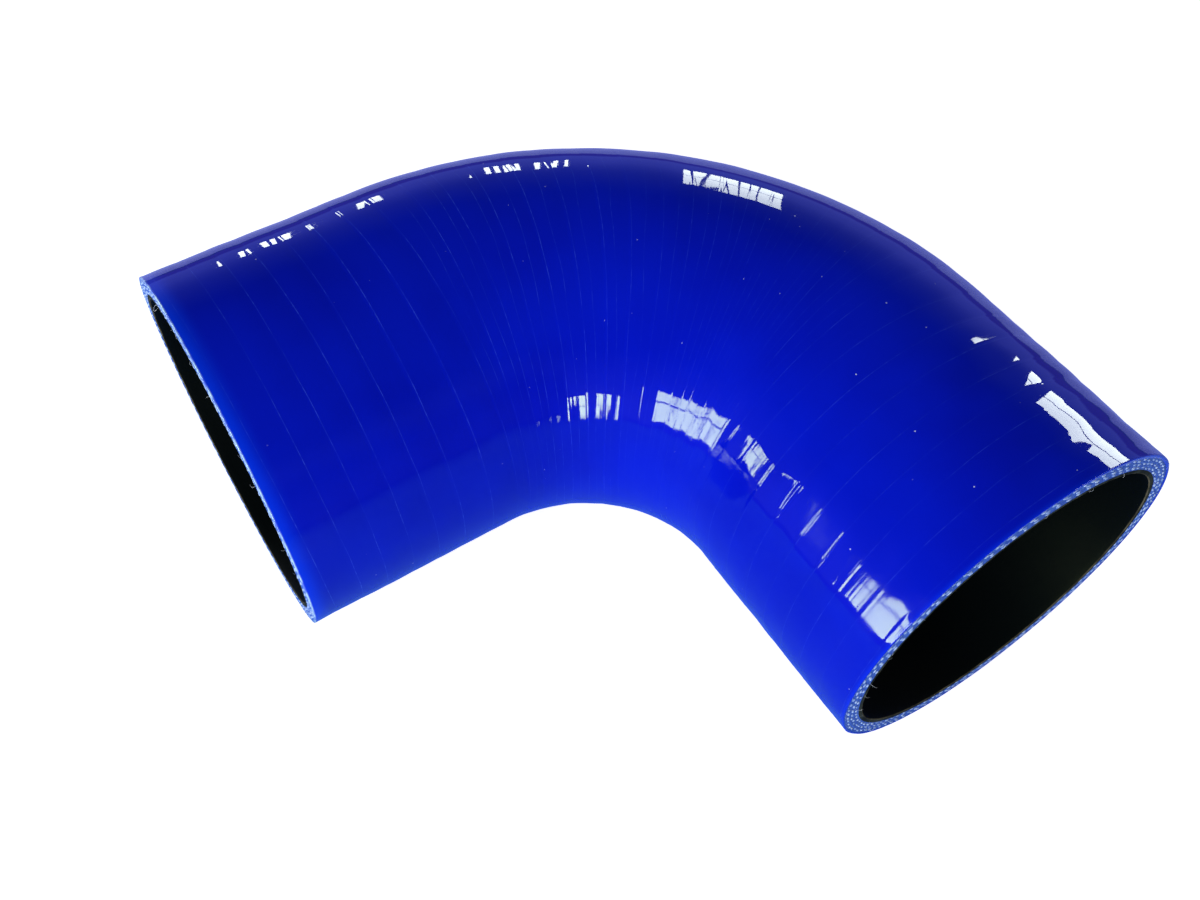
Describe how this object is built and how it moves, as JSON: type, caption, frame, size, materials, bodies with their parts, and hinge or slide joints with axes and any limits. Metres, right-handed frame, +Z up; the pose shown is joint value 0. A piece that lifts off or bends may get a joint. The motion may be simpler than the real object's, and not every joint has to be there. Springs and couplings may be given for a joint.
{
  "type": "silicone hose elbow",
  "caption": "Ninety degree silicone hose elbow: round plain bore, yarn reinforced wall, equal straight legs cut square, blue cover with a faint spiral of tape marks.",
  "frame": {"origin": "on the surface the hose lies on, under the middle of its box", "axes": "+Z up, square to the level plane of the bend; the first leg's mouth faces -X and the second leg's mouth faces -Y"},
  "size_m": [0.138, 0.138, 0.072],
  "materials": {
    "silicone_wall": "glossy blue silicone cover, matt black liner, pale yarn ends in three rows on the cut faces"
  },
  "bodies": {
    "root": {"hose_elbow": "silicone_wall"}
  },
  "joints": []
}
